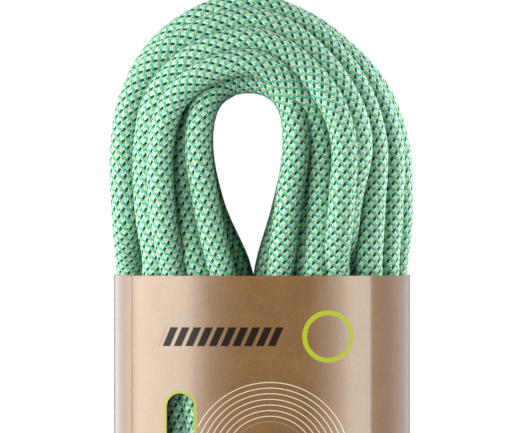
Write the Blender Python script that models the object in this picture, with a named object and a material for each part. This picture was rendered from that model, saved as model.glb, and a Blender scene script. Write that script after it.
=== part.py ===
"""A new climbing rope, wound into an upright hank and held by a printed card sleeve.

Metres, +Z up. The card's front faces -Y. The hank hangs by its upper eye, and the origin is
the top of that eye, level with the middle of the card. Every level of the hank is one oval
section, and the sleeve and the ties are walls of the same family of sections.
"""
import math

import bmesh
import bpy
from mathutils import Vector

ROPE_D = 0.0098
GAP = 0.0003  # between pieces that touch
SECTION_POINTS = 48  # round every section
SQUARENESS = 3.5  # exponent of the oval: 2 is an ellipse, more is squarer
ROUND_SIDES = 32  # of the bands
TAIL_BEVEL_STEPS = 4
THROUGH = 0.2  # length of the cutters, more than the hank is deep
SHARP_ANGLE = math.radians(40)

# Card sleeve
SLEEVE_W = 0.1065
SLEEVE_DEPTH = 0.100
SLEEVE_TOP = -0.065
SLEEVE_H = 0.290
SLEEVE_BOTTOM = SLEEVE_TOP - SLEEVE_H
CARD_T = 0.0006
BACK_FLAT = 0.0015  # how far the flat back panel is pressed in
LAP_W = 0.020  # glued overlap, down the middle of the back
LAP_INSET = 0.0005
WINDOW_W = 0.0100
WINDOW_X = -0.0292
WINDOW_TOP = -0.1068
WINDOW_H = 0.083
WINDOW_STEPS = 8  # round each end

# Hank inside the sleeve
HANK_HALF_W = 0.05145
HANK_FRONT = -0.0483
HANK_BACK = 0.0458

# Upper end, an arch with a fuller left shoulder and a longer right one
APEX_X = -0.003
APEX_Z = 0.0356
LEFT_SPRING_Z = -0.018
LEFT_REACH = 0.051
RIGHT_SPRING_Z = -0.040
RIGHT_REACH = 0.057
FLARE_HALF_DEPTH = 0.0540
FLARE_Z = -0.012
UPPER_DOME = 0.93  # how much of a quarter circle the depth follows towards the crown

# Lower end, kept slim enough for the sleeve to slide off over it
LOWER_ARCH_H = 0.060
LOWER_DOME = 0.85
HANK_BOTTOM = SLEEVE_BOTTOM - 0.098

# Sections up the hank
ARCH_LEVELS = 12  # at each end
SHOULDER_LEVELS = 5
STRAIGHT_INSET = 0.1  # where the straight stretch's two sections lie, from the card's ends

# Eyes: half width, x of the middle, z of the round end and z of the point
UPPER_EYE = (0.0125, -0.0054, 0.0, -0.064)
LOWER_EYE = (0.0090, 0.0013, HANK_BOTTOM + 0.044, SLEEVE_BOTTOM + 0.004)
EYE_POWER = 1.6
EYE_ROUND_STEPS = 12
EYE_SIDE_STEPS = 8

# Free ends, which hang behind the lower turns
TAIL_Y = 0.0408
TAIL_TOP = SLEEVE_BOTTOM + 0.012
TAIL_ROUTES = {
    "rope_tail_1": [(-0.0200, TAIL_TOP - GAP), (-0.0197, -0.360), (-0.0180, -0.380), (-0.0175, -0.398),
                    (-0.0175, -0.430)],
    "rope_tail_2": [(0.0215, TAIL_TOP - GAP), (0.0217, -0.352), (0.0226, -0.364), (0.0230, -0.377),
                    (0.0230, -0.410)],
}
TAIL_STEP = 2.2 * ROPE_D
BAND_H = 0.022
BAND_T = 0.0004
BAND_RISE = 0.0040  # bare rope left below each band

# Ties under the sleeve
TIE_H = 0.010
TIE_T = 0.0004
TIE_HEIGHTS = {"upper_tie": -0.088, "lower_tie": -0.322}

# Folded leaflet between the hank's back and the card
LEAFLET_W = 0.050
LEAFLET_H = 0.105
LEAFLET_T = 0.0008
LEAFLET_Y = 0.0468
LEAFLET_TOP = -0.120

# Finishes: base colour and roughness
SHEATH_GREEN = (0.36, 0.68, 0.53), 0.7
TAPE_BLACK = (0.02, 0.02, 0.02), 0.8
SHRINK_BLACK = (0.03, 0.03, 0.03), 0.4
KRAFT_BROWN = (0.42, 0.29, 0.16), 0.45
PAPER_WHITE = (0.85, 0.85, 0.82), 0.6


def material(name, colour, roughness):
    """A plain finish for one piece."""
    mat = bpy.data.materials.new(name)
    mat.use_nodes = True
    shader = mat.node_tree.nodes["Principled BSDF"]
    shader.inputs["Base Color"].default_value = (*colour, 1.0)
    shader.inputs["Roughness"].default_value = roughness
    shader.inputs["Metallic"].default_value = 0.0
    return mat


def add_object(name, bm, mat):
    """Turn a bmesh into a named object with faces pointing out."""
    bmesh.ops.recalc_face_normals(bm, faces=bm.faces)
    mesh = bpy.data.meshes.new(name)
    bm.to_mesh(mesh)
    bm.free()
    obj = bpy.data.objects.new(name, mesh)
    bpy.context.collection.objects.link(obj)
    if mat is not None:
        mesh.materials.append(mat)
        mesh.shade_smooth()
        mesh.set_sharp_from_angle(angle=SHARP_ANGLE)
    return obj


def oval(left, right, front, back):
    """Points of the squarish oval that fills the box from left to right and front to back."""
    middle_x, middle_y = (left + right) / 2, (front + back) / 2
    points = []
    for k in range(SECTION_POINTS):
        turn = math.tau * k / SECTION_POINTS
        c, s = math.cos(turn), math.sin(turn)
        x = math.copysign(abs(c) ** (2 / SQUARENESS), c)
        y = math.copysign(abs(s) ** (2 / SQUARENESS), s)
        points.append((middle_x + x * (right - left) / 2, middle_y + y * (back - front) / 2))
    return points


def sleeve_plan(inset):
    """The card's plan, inset from its outer face, with its back pressed flat."""
    half_w, half_d = SLEEVE_W / 2 - inset, SLEEVE_DEPTH / 2 - inset
    flat = half_d - BACK_FLAT
    return [(x, min(y, flat)) for x, y in oval(-half_w, half_w, -half_d, half_d)]


def add_ring(bm, points, z):
    return [bm.verts.new((x, y, z)) for x, y in points]


def bridge(bm, lower, upper):
    """Quads between two rings with the same number of points."""
    for k in range(len(lower)):
        n = (k + 1) % len(lower)
        bm.faces.new((lower[k], lower[n], upper[n], upper[k]))


def wall(outer, inner, bottom, top):
    """A closed upright wall between two plans."""
    bm = bmesh.new()
    rings = [add_ring(bm, outer, bottom), add_ring(bm, outer, top)]
    rings += [add_ring(bm, inner, top), add_ring(bm, inner, bottom)]
    for k in range(4):
        bridge(bm, rings[k], rings[(k + 1) % 4])
    return bm


def prism(outline, depth):
    """An outline of x and z points extruded along Y, half each way."""
    bm = bmesh.new()
    front = [bm.verts.new((x, -depth / 2, z)) for x, z in outline]
    back = [bm.verts.new((x, depth / 2, z)) for x, z in outline]
    bridge(bm, front, back)
    bm.faces.new(front)
    bm.faces.new(back)
    return bm


def block(low, high):
    """A plain box between two corners."""
    bm = bmesh.new()
    bmesh.ops.create_cube(bm, size=1.0)
    for v in bm.verts:
        v.co = Vector([a + (c + 0.5) * (b - a) for a, b, c in zip(low, high, v.co)])
    return bm


def boolean(obj, tool_name, bm, operation):
    """Cut a hidden tool out of a piece, or join it on."""
    tool = add_object(tool_name, bm, None)
    tool.hide_render = True
    tool.display_type = "WIRE"
    mod = obj.modifiers.new(tool_name, "BOOLEAN")
    mod.operation = operation
    mod.object = tool


def ease(a, b, t):
    """A smooth step from a to b."""
    t = min(max(t, 0.0), 1.0)
    return a + (b - a) * t * t * (3 - 2 * t)


def quarter(t):
    """The height of a quarter circle over its base."""
    return math.sqrt(max(0.0, 1 - t * t))


def hank_section(z):
    """Left, right, front and back of the hank at one height."""
    left, right, front, back = -HANK_HALF_W, HANK_HALF_W, HANK_FRONT, HANK_BACK
    if z > SLEEVE_TOP:
        flare = (z - SLEEVE_TOP) / (FLARE_Z - SLEEVE_TOP)
        front, back = ease(front, -FLARE_HALF_DEPTH, flare), ease(back, FLARE_HALF_DEPTH, flare)
        left = ease(left, APEX_X - LEFT_REACH, (z - SLEEVE_TOP) / (LEFT_SPRING_Z - SLEEVE_TOP))
        right = ease(right, APEX_X + RIGHT_REACH, (z - SLEEVE_TOP) / (RIGHT_SPRING_Z - SLEEVE_TOP))
    if z > LEFT_SPRING_Z:
        left = APEX_X - LEFT_REACH * quarter((z - LEFT_SPRING_Z) / (APEX_Z - LEFT_SPRING_Z))
    if z > RIGHT_SPRING_Z:
        right = APEX_X + RIGHT_REACH * quarter((z - RIGHT_SPRING_Z) / (APEX_Z - RIGHT_SPRING_Z))
    if z > FLARE_Z:
        dome = quarter(UPPER_DOME * (z - FLARE_Z) / (APEX_Z - FLARE_Z))
        front, back = front * dome, back * dome
    spring = HANK_BOTTOM + LOWER_ARCH_H
    if z < spring:
        down = (spring - z) / LOWER_ARCH_H
        left, right = left * quarter(down), right * quarter(down)
        front, back = front * quarter(LOWER_DOME * down), back * quarter(LOWER_DOME * down)
    return left, right, front, back


def hank_levels():
    """Heights of the sections: few where the hank is straight, close together at its ends."""
    levels = []
    for k in range(1, ARCH_LEVELS + 1):
        levels.append(HANK_BOTTOM + LOWER_ARCH_H * (1 - math.cos(math.pi / 2 * k / ARCH_LEVELS)))
    levels += [SLEEVE_BOTTOM + STRAIGHT_INSET, SLEEVE_TOP - STRAIGHT_INSET]
    for k in range(SHOULDER_LEVELS):
        levels.append(SLEEVE_TOP + (LEFT_SPRING_Z - SLEEVE_TOP) * k / SHOULDER_LEVELS)
    for k in range(ARCH_LEVELS):
        levels.append(LEFT_SPRING_Z + (APEX_Z - LEFT_SPRING_Z) * math.sin(math.pi / 2 * k / ARCH_LEVELS))
    return levels


def eye_outline(half_w, middle, round_z, point_z):
    """A teardrop with its round end at round_z and its point at point_z."""
    way = 1 if round_z > point_z else -1
    centre = round_z - way * half_w
    length = abs(centre - point_z)
    outline = []
    for k in range(EYE_ROUND_STEPS + 1):
        turn = math.pi * k / EYE_ROUND_STEPS
        outline.append((middle + half_w * math.cos(turn), centre + way * half_w * math.sin(turn)))
    for k in range(1, EYE_SIDE_STEPS):
        t = k / EYE_SIDE_STEPS
        outline.append((middle - half_w * (1 - t ** EYE_POWER), centre - way * length * t))
    outline.append((middle, point_z))
    for k in range(EYE_SIDE_STEPS - 1, 0, -1):
        t = k / EYE_SIDE_STEPS
        outline.append((middle + half_w * (1 - t ** EYE_POWER), centre - way * length * t))
    return outline


def make_hank(mat):
    bm = bmesh.new()
    rings = [add_ring(bm, oval(*hank_section(z)), z) for z in hank_levels()]
    for lower, upper in zip(rings, rings[1:]):
        bridge(bm, lower, upper)
    bm.faces.new(rings[0])
    bm.faces.new(rings[-1])
    hank = add_object("rope_hank", bm, mat)
    boolean(hank, "cut_upper_eye", prism(eye_outline(*UPPER_EYE), THROUGH), "DIFFERENCE")
    boolean(hank, "cut_lower_eye", prism(eye_outline(*LOWER_EYE), THROUGH), "DIFFERENCE")
    tail_room = TAIL_Y - ROPE_D / 2 - BAND_T - 2 * GAP
    half = THROUGH / 2
    room = block((-half, tail_room, HANK_BOTTOM - LOWER_ARCH_H), (half, half, TAIL_TOP))
    boolean(hank, "cut_tail_room", room, "DIFFERENCE")


def smooth_route(route):
    """Points every few diameters on a smooth curve through the route's own points."""
    knots = [Vector((x, TAIL_Y, z)) for x, z in route]
    knots = [2 * knots[0] - knots[1], *knots, 2 * knots[-1] - knots[-2]]
    points = [knots[1]]
    for a, b, c, d in zip(knots, knots[1:], knots[2:], knots[3:]):
        steps = max(1, round((c - b).length / TAIL_STEP))
        for k in range(1, steps + 1):
            t = k / steps
            points.append(0.5 * (2 * b + (c - a) * t + (2 * a - 5 * b + 4 * c - d) * t**2
                                 + (3 * b - a - 3 * c + d) * t**3))
    return points


def make_tail(name, mat):
    points = smooth_route(TAIL_ROUTES[name])
    curve = bpy.data.curves.new(name, "CURVE")
    curve.dimensions = "3D"
    curve.bevel_depth = ROPE_D / 2
    curve.bevel_resolution = TAIL_BEVEL_STEPS
    curve.use_fill_caps = True
    spline = curve.splines.new("POLY")
    spline.points.add(len(points) - 1)
    for slot, point in zip(spline.points, points):
        slot.co = (*point, 1.0)
    curve.materials.append(mat)
    obj = bpy.data.objects.new(name, curve)
    bpy.context.collection.objects.link(obj)
    return points[-1]


def circle(centre_x, centre_y, radius):
    turns = [math.tau * k / ROUND_SIDES for k in range(ROUND_SIDES)]
    return [(centre_x + radius * math.cos(t), centre_y + radius * math.sin(t)) for t in turns]


def make_band(name, end, mat):
    """A heat-shrink mark round the last stretch of a tail."""
    inner = ROPE_D / 2 + GAP
    low = end.z + BAND_RISE
    bm = wall(circle(end.x, end.y, inner + BAND_T), circle(end.x, end.y, inner), low, low + BAND_H)
    add_object(name, bm, mat)


def make_tie(name, z, mat):
    left, right, front, back = hank_section(z)
    plans = []
    for away in (GAP + TIE_T, GAP):
        plans.append(oval(left - away, right + away, front - away, back + away))
    add_object(name, wall(plans[0], plans[1], z - TIE_H / 2, z + TIE_H / 2), mat)


def window_outline():
    """A slot with round ends."""
    radius = WINDOW_W / 2
    top, bottom = WINDOW_TOP - radius, WINDOW_TOP - WINDOW_H + radius
    outline = []
    for middle, start in ((top, 0.0), (bottom, math.pi)):
        for k in range(WINDOW_STEPS + 1):
            turn = start + math.pi * k / WINDOW_STEPS
            outline.append((WINDOW_X + radius * math.cos(turn), middle + radius * math.sin(turn)))
    return outline


def make_sleeve(mat):
    plan = wall(sleeve_plan(0.0), sleeve_plan(CARD_T), SLEEVE_BOTTOM, SLEEVE_TOP)
    sleeve = add_object("sleeve_card", plan, mat)
    face = SLEEVE_DEPTH / 2 - BACK_FLAT
    lap = block((-LAP_W / 2, face - CARD_T / 2, SLEEVE_BOTTOM + LAP_INSET),
                (LAP_W / 2, face + CARD_T, SLEEVE_TOP - LAP_INSET))
    boolean(sleeve, "join_lap", lap, "UNION")
    window = prism(window_outline(), SLEEVE_DEPTH)
    for v in window.verts:
        v.co.y -= SLEEVE_DEPTH / 2
    boolean(sleeve, "cut_window", window, "DIFFERENCE")


def make_leaflet(mat):
    low = (-LEAFLET_W / 2, LEAFLET_Y, LEAFLET_TOP - LEAFLET_H)
    high = (LEAFLET_W / 2, LEAFLET_Y + LEAFLET_T, LEAFLET_TOP)
    add_object("leaflet", block(low, high), mat)


for old in list(bpy.data.objects):
    bpy.data.objects.remove(old)

sheath = material("rope_sheath", *SHEATH_GREEN)
tape = material("woven_tape", *TAPE_BLACK)
shrink = material("shrink_tube", *SHRINK_BLACK)

make_hank(sheath)
for number, tail in enumerate(TAIL_ROUTES, start=1):
    make_band(f"end_band_{number}", make_tail(tail, sheath), shrink)
for tie, height in TIE_HEIGHTS.items():
    make_tie(tie, height, tape)
make_sleeve(material("kraft_card", *KRAFT_BROWN))
make_leaflet(material("leaflet_paper", *PAPER_WHITE))
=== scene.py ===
# %% [markdown]
# # A climbing rope hank in a card sleeve
#
# The object is one long braided rope, wound into an upright hank, with a printed card wrapped round its
# middle. This lesson dresses the imported CAD model: the rope is laid turn by turn as one real cord, the card
# gets its bend, print and varnish, and the small pieces get their own finishes.
#
# The first cell loads the CAD model as a fixed frame. Its parts are kept, and hidden once a finished piece
# replaces them.

# %% Load the frame
import math

import bmesh
import bpy
import numpy as np
from mathutils import Matrix, Vector, kdtree


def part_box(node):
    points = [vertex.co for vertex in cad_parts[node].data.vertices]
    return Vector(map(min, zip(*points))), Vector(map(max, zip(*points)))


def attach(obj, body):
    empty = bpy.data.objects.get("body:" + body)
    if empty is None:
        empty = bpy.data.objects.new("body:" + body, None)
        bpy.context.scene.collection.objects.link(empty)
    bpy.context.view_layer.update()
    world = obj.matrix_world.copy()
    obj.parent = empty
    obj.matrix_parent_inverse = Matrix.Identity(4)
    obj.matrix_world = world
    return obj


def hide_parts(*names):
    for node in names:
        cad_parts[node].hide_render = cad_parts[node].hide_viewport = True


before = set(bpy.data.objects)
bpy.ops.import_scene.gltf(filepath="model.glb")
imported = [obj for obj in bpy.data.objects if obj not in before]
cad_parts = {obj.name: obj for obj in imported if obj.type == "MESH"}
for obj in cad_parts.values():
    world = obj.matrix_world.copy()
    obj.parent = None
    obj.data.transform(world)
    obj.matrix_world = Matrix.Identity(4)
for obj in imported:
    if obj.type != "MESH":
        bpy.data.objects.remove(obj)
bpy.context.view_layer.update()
scene = bpy.context.scene

# %% [markdown]
# ## Camera
#
# Packaged goods are shown through a long lens from far away, so that their upright edges stay parallel.
# The camera stands level, a little above the card's top edge, and looks along +Y.

# %% Camera
MM = 0.001
SENSOR = 36 * MM
CAMERA_AWAY = 3.2
VIEW_WIDTH = 184.8 * MM
VIEW_CENTRE = Vector((-0.9 * MM, 0.0, -43.9 * MM))
FRONT_FACE = -45 * MM
NEAR_CLIP, FAR_CLIP = 0.05, 20

camera_data = bpy.data.cameras.new("long_lens")
camera_data.sensor_width = SENSOR / MM
camera_data.lens = camera_data.sensor_width * (CAMERA_AWAY + FRONT_FACE) / VIEW_WIDTH
camera_data.clip_start, camera_data.clip_end = NEAR_CLIP, FAR_CLIP
camera = bpy.data.objects.new("camera", camera_data)
scene.collection.objects.link(camera)
camera.location = VIEW_CENTRE + Vector((0, -CAMERA_AWAY, 0))
camera.rotation_euler = (math.radians(90), 0, 0)
scene.camera = camera
print("lens:", round(camera_data.lens), "mm")

# %% [markdown]
# ## The rope's turns
#
# A machine winds the rope over two pegs, layer on layer, and across the hank's depth within each layer.
# The front turns are what a buyer sees, so their places are chosen one by one: for each, where its left
# leg, its crown and its right leg run, and how far forward each of them lies. The turns behind them follow
# from the layer and the row, because nobody places those by hand.
#
# All lengths in this table are millimetres from the hanging eye.

# %% Front turns
ROPE_D = 9.8 * MM
ROPE_R = ROPE_D / 2
CARD_TOP, CARD_BOTTOM = (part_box("sleeve_card")[k].z for k in (1, 0))
LEG_LEVELS = (CARD_TOP, -40 * MM, -15 * MM)

# (layer, row): left leg x at the three levels, crown z, right leg x at the three levels,
# and y of the left leg, crown, right leg and right foot
FRONT_TURNS = {
    (0, 0): ((-13.9, -19.8, -22.6), 4.9, (6.4, 9.3, 12.1), (-48, -41, -48, -48)),
    (1, 0): ((-23.1, -27.8, -28.8), 7.5, (12.8, 14.6, 16.0), (-40, -30, -39, -37)),
    (2, 0): ((-31.3, -35.6, -35.4), 11.0, (19.6, 20.6, 19.8), (-49, -50, -43, -43)),
    (3, 0): ((-36.7, -40.8, -40.8), 18.9, (25.9, 28.2, 28.8), (-41, -44, -50, -50)),
    (4, 0): ((-46.8, -49.0, -49.0), 26.0, (29.1, 30.6, 34.4), (-37, -37, -46, -33)),
    (5, 0): ((-47.5, -48.4, -48.4), 31.6, (38.1, 39.3, 39.6), (-27, -29, -39, -37)),
    (5, 1): ((-47.5, -48.4, -48.6), 30.8, (44.0, 45.7, 45.3), (-15, -17, -31, -29)),
    (5, 2): ((-47.4, -48.0, -48.4), 31.5, (47.5, 49.3, 47.4), (-3, -4, -22, -20)),
}
ROWS = (7, 7, 8, 7, 7, 5)  # turns in each layer, from the eye outwards
FRONT_Y = (-46, -38, -49, -44, -37, -28)
BACK_Y = (45, 38, 48, 43, 38, 30)
INNER_LEFT, INNER_CROWN, INNER_RIGHT = (-9.6, -20.2, -24.4), 7.0, (2.4, 9.8, 14.2)
OUTER_LEFT, OUTER_CROWN, OUTER_RIGHT = (-47.0, -48.0, -47.8), 31.0, (47.0, 48.2, 46.0)
print(sum(ROWS), "turns in", len(ROWS), "layers")

# %% [markdown]
# A turn that has no plan of its own lies between the innermost and the outermost one, by its layer, and
# between the front and the back of the hank, by its row. A little seeded shake keeps the rows from looking
# drawn with a ruler.

# %% Plan of any turn
rng = np.random.default_rng(11)
SHAKE = 1.2


def between(a, b, t):
    return [p + (q - p) * t for p, q in zip(a, b)]


def turn_plan(layer, row):
    """Left leg, crown, right leg and depths of one turn, in millimetres."""
    if (layer, row) in FRONT_TURNS:
        return FRONT_TURNS[layer, row]
    out = layer / (len(ROWS) - 1)
    deep = row / (ROWS[layer] - 1)
    shake = rng.uniform(-SHAKE, SHAKE, 5)
    left = [x + shake[0] for x in between(INNER_LEFT, OUTER_LEFT, out)]
    right = [x + shake[1] for x in between(INNER_RIGHT, OUTER_RIGHT, out)]
    crown = INNER_CROWN + (OUTER_CROWN - INNER_CROWN) * out
    y = FRONT_Y[layer] + (BACK_Y[layer] - FRONT_Y[layer]) * deep
    return left, crown, right, [y + shake[k] for k in (2, 3, 4, 4)]


print(len(FRONT_TURNS), "turns have a plan of their own, the others shake by up to", SHAKE, "mm")


# %% [markdown]
# Each turn becomes a row of route points: up the left leg, over the crown as two quarter ovals, down the
# right leg, through the card, and round the lower end. Inside the card the rope steps across to the next
# turn's place, so the whole hank stays one unbroken rope.

# %% Route of the whole rope
APEX_IN, APEX_OUT = -4.6, -2.5  # the crowns' middle, innermost and outermost
LOW_SPRING, LOW_INNER, LOW_OUTER = -393.0, -413.9, -448.0
LOW_LEG_IN, LOW_LEG_OUT = 13.9, 46.2
CARD_LEG_IN, CARD_LEG_PITCH = 4.4, 8.5
CARD_LEG_TOP, CARD_LEG_FOOT = -120, -300  # between these levels a leg runs straight inside the card
CARD_FRONT_Y, CARD_BACK_Y = -43.4, 40.2
LOW_BACK_Y = 30.0
FULL_INNER, FULL_LEFT, FULL_RIGHT = 0.74, 0.70, 0.64  # how full the crowns' shoulders are
FULL_LOW_INNER, FULL_LOW = 0.76, 0.70
FULL_FROM = 2  # the layer from which the shoulders have their outer fullness
CARD_HALF_W, OVAL_POWER = 47.6, 3.5  # the oval that the centrelines fill inside the card
TAIL_Y = 40.8
TAIL_1 = [(-17.5, -430), (-17.5, -398), (-18.0, -380), (-19.7, -360), (-20.0, -343)]
TAIL_2 = [(21.5, -343), (21.7, -352), (22.6, -364), (23.0, -377), (23.0, -410)]
QUARTER = [math.radians(a) for a in (22.5, 45, 67.5)]


def quarter_oval(foot, top, fullness):
    """Points on a quarter oval from foot up (or down) to top, both as (x, y, z)."""
    power = math.log(fullness) / math.log(math.sqrt(0.5))
    points = []
    for a in QUARTER:
        x = top[0] + (foot[0] - top[0]) * math.cos(a) ** power
        z = foot[2] + (top[2] - foot[2]) * math.sin(a) ** power
        points.append((x, foot[1] + (top[1] - foot[1]) * math.sin(a) ** 2, z))
    return points


def card_front(x):
    """How far forward a centreline may lie at x where it enters the card, whose plan is a rounded oval."""
    middle, half_depth = (CARD_BACK_Y + CARD_FRONT_Y) / 2, (CARD_BACK_Y - CARD_FRONT_Y) / 2
    return middle - half_depth * max(0, 1 - abs(x / CARD_HALF_W) ** OVAL_POWER) ** (1 / OVAL_POWER)


def turn_route(layer, row, first):
    """Route points of one turn from its lower left leg to its right leg."""
    left, crown, right, (y_left, y_crown, y_right, y_foot) = turn_plan(layer, row)
    out = layer / (len(ROWS) - 1)
    share = (row + 0.5) / ROWS[layer]
    low_x = LOW_LEG_IN + (LOW_LEG_OUT - LOW_LEG_IN) * out
    low_y = CARD_FRONT_Y + (LOW_BACK_Y - CARD_FRONT_Y) * share
    card_x = CARD_LEG_IN + CARD_LEG_PITCH * layer
    card_y = CARD_FRONT_Y + (CARD_BACK_Y - CARD_FRONT_Y) * share
    low_crown = (0.0, low_y, LOW_INNER + (LOW_OUTER - LOW_INNER) * out)
    levels = [z / MM for z in LEG_LEVELS]
    apex = (APEX_IN + (APEX_OUT - APEX_IN) * out, y_crown, crown)
    fuller = min(1, layer / FULL_FROM)
    full_left, full_right = [FULL_INNER + (f - FULL_INNER) * fuller for f in (FULL_LEFT, FULL_RIGHT)]
    full_low = FULL_LOW_INNER + (FULL_LOW - FULL_LOW_INNER) * out
    into = []
    if not first:
        low_right = (low_x, low_y, LOW_SPRING)
        low_left = (-low_x, low_y, LOW_SPRING)
        into = [(card_x, card_y, CARD_LEG_FOOT), (low_x, low_y, CARD_BOTTOM / MM), low_right]
        into += quarter_oval(low_right, low_crown, full_low) + [low_crown]
        into += quarter_oval(low_left, low_crown, full_low)[::-1]
        into += [low_left, (-low_x, low_y, CARD_BOTTOM / MM), (-card_x, card_y, CARD_LEG_FOOT)]
    left_y = (max(y_left, card_front(left[0])), y_left, y_left)
    right_y = (max(y_foot, card_front(right[0])), y_right, y_right)
    up = [(-card_x, card_y, CARD_LEG_TOP)] + list(zip(left, left_y, levels))
    down = list(zip(right, right_y, levels))[::-1]
    top = quarter_oval(up[-1], apex, full_left) + [apex] + quarter_oval(down[0], apex, full_right)[::-1]
    return into + up + top + down + [(card_x, card_y, CARD_LEG_TOP)]


def winding():
    """Layer and row of every turn in the order the machine lays them, starting at the back."""
    for layer, rows in enumerate(ROWS):
        order = range(rows)
        for row in (reversed(order) if layer % 2 == 0 else order):
            yield layer, row


knots = [(x, TAIL_Y, z) for x, z in TAIL_1]
owners = [(-1, -1)] * len(knots)
for count, (layer, row) in enumerate(winding()):
    route = turn_route(layer, row, count == 0)
    knots += route
    owners += [(layer, row)] * len(route)
knots += [(x, TAIL_Y, z) for x, z in TAIL_2]
owners += [owners[-1]] + [(-1, -1)] * (len(TAIL_2) - 1)
knots = np.array(knots, float) * MM
owners = np.array(owners)
print(len(knots), "route points")

# %% [markdown]
# A cubic through the route points, with slopes weighted by the length of the stretches on either side,
# bends like a springy cord. It is read at even steps, which the settling needs.

# %% Smooth line through points


def along(points):
    """Distance of each point from the start."""
    return np.concatenate([[0.0], np.cumsum(np.linalg.norm(np.diff(points, axis=0), axis=1))])


def smooth_line(points, at):
    """Cubic line through points, read at the given distances."""
    s = along(points)
    h = np.diff(s)[:, None]
    slope = np.diff(points, axis=0) / h
    inner = (slope[:-1] * h[1:] + slope[1:] * h[:-1]) / (h[1:] + h[:-1])
    tangent = np.vstack([slope[:1], inner, slope[-1:]])
    k = np.clip(np.searchsorted(s, at, side="right") - 1, 0, len(s) - 2)
    t = ((at - s[k]) / h[k, 0])[:, None]
    start = (2 * t**3 - 3 * t**2 + 1) * points[k] + (t**3 - 2 * t**2 + t) * h[k] * tangent[k]
    return start + (3 * t**2 - 2 * t**3) * points[k + 1] + (t**3 - t**2) * h[k] * tangent[k + 1]


STEP = 6.5 * MM
knot_at = along(knots)
stations = np.linspace(0, knot_at[-1], round(knot_at[-1] / STEP) + 1)
line = smooth_line(knots, stations)
owner = owners[np.clip(np.searchsorted(knot_at, stations), 0, len(owners) - 1)]
print(len(line), "points,", round(along(line)[-1], 2), "m of rope")

# %% [markdown]
# ## Settling the turns
#
# Planned turns still run through each other here and there, as real ones can't. Points of different turns
# that come closer than the rope is thick are pushed apart, and each push is smoothed along the rope, because
# a rope can't kink. The card, the eye and the chosen front turns hold their places. Small steps like these
# are how a cloth solver works too, and they take a few seconds here.

# %% Settle
CONTACT = 0.97 * ROPE_D  # a wound rope is pressed a little out of round
SETTLE_STEPS = 130
REBUILD_EVERY = 10
REACH = 1.35 * ROPE_D
NEAR_ALONG = 5
PUSH = 0.35
LAYER_ROOM = 5.0 * MM  # how far a turn may shift for each layer that lies outside it or inside it
LEAST_ROOM = 0.8 * MM
RIM = 2 * MM  # the card's oval still holds a turn this far above its edge
SMOOTHING, SMOOTH_ROUNDS = 0.5, 2
HALF_FLARE = 48.8 * MM  # half the depth that the centrelines fill above the card


def close_pairs(points):
    """Pairs of points of different stretches that are nearly touching."""
    tree = kdtree.KDTree(len(points))
    for k, p in enumerate(points):
        tree.insert(p, k)
    tree.balance()
    first, second = [], []
    for k, p in enumerate(points):
        for _, n, _ in tree.find_range(p, REACH):
            if n > k + NEAR_ALONG:
                first.append(k)
                second.append(n)
    return np.array(first), np.array(second)


def push_apart(points, pairs):
    """How far each point moves, shared between the two points of every pair that is too close."""
    a, b = pairs
    gap = points[a] - points[b]
    far = np.linalg.norm(gap, axis=1)
    push = gap * (np.clip(CONTACT - far, 0, None) / np.maximum(far, 1e-6) * PUSH)[:, None]
    columns = [np.bincount(a, p, len(points)) - np.bincount(b, p, len(points)) for p in push.T]
    return np.stack(columns, axis=1)


def keep_in_card(points, inside, middle, half_depth):
    """Squeeze the points that left the card's oval back to its edge."""
    fill = np.abs(points[:, 0] / (CARD_HALF_W * MM)) ** OVAL_POWER
    fill += np.abs((points[:, 1] - middle) / half_depth) ** OVAL_POWER
    squeeze = np.where(inside & (fill > 1), np.maximum(fill, 1e-9) ** (-1 / OVAL_POWER), 1.0)
    points[:, 0] *= squeeze
    points[:, 1] = middle + (points[:, 1] - middle) * squeeze


def settle(rest, free, room):
    """Relax the line; free says which coordinates may move, room how far they may move across the layers."""
    moved = np.zeros_like(rest)
    inside = rest[:, 2] < CARD_TOP + RIM
    back = np.where(rest[:, 2] < CARD_BOTTOM, LOW_BACK_Y, CARD_BACK_Y) * MM
    middle, half_depth = (back + CARD_FRONT_Y * MM) / 2, (back - CARD_FRONT_Y * MM) / 2
    for step in range(SETTLE_STEPS):
        if step % REBUILD_EVERY == 0:
            pairs = close_pairs(rest + moved)
        moved += push_apart(rest + moved, pairs)
        moved *= free
        for _ in range(SMOOTH_ROUNDS):
            moved[1:-1] += SMOOTHING * ((moved[:-2] + moved[2:]) / 2 - moved[1:-1])
        across = np.linalg.norm(moved[:, ::2], axis=1)
        moved[:, ::2] *= np.minimum(1, room / np.maximum(across, 1e-9))[:, None]
        now = rest + moved
        now[:, 1] = np.clip(now[:, 1], -HALF_FLARE, HALF_FLARE)
        keep_in_card(now, inside, middle, half_depth)
        moved = (now - rest) * free
    return rest + moved


LAST = len(ROWS) - 1
is_front = np.array([tuple(o) in FRONT_TURNS for o in owner])
is_tail = owner[:, 0] < 0
above_card = line[:, 2] > CARD_TOP + RIM
free = np.ones_like(line)
free[above_card & is_front] = 0.0
free[is_tail] = 0.0
room = LEAST_ROOM + LAYER_ROOM * np.minimum(owner[:, 0], LAST - owner[:, 0])
settled = settle(line, free, np.where(is_tail, 0.0, room))
print("largest move:", round(np.abs(settled - line).max() / MM, 1), "mm")
print(round(along(settled)[-1], 2), "m of rope after settling")

# %% [markdown]
# ## The rope's surface
#
# The rope is a mesh tube round the settled line. A curve with a bevel would do the same, but a mesh lets the
# rings stand close on the bends and far apart where the rope runs straight inside the card, which keeps the
# count of triangles low. It also carries a UV map: u goes round the sheath once, v runs along it in metres,
# so the braid can follow every turn.

# %% Rope tube
SIDES = 16
BEND_STEP = 5.0 * MM
HIDDEN_STEP = 24 * MM
HIDDEN_INSET = 22 * MM  # rings stand close this far behind the card's edges too
LOOK_AHEAD = 4
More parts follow.
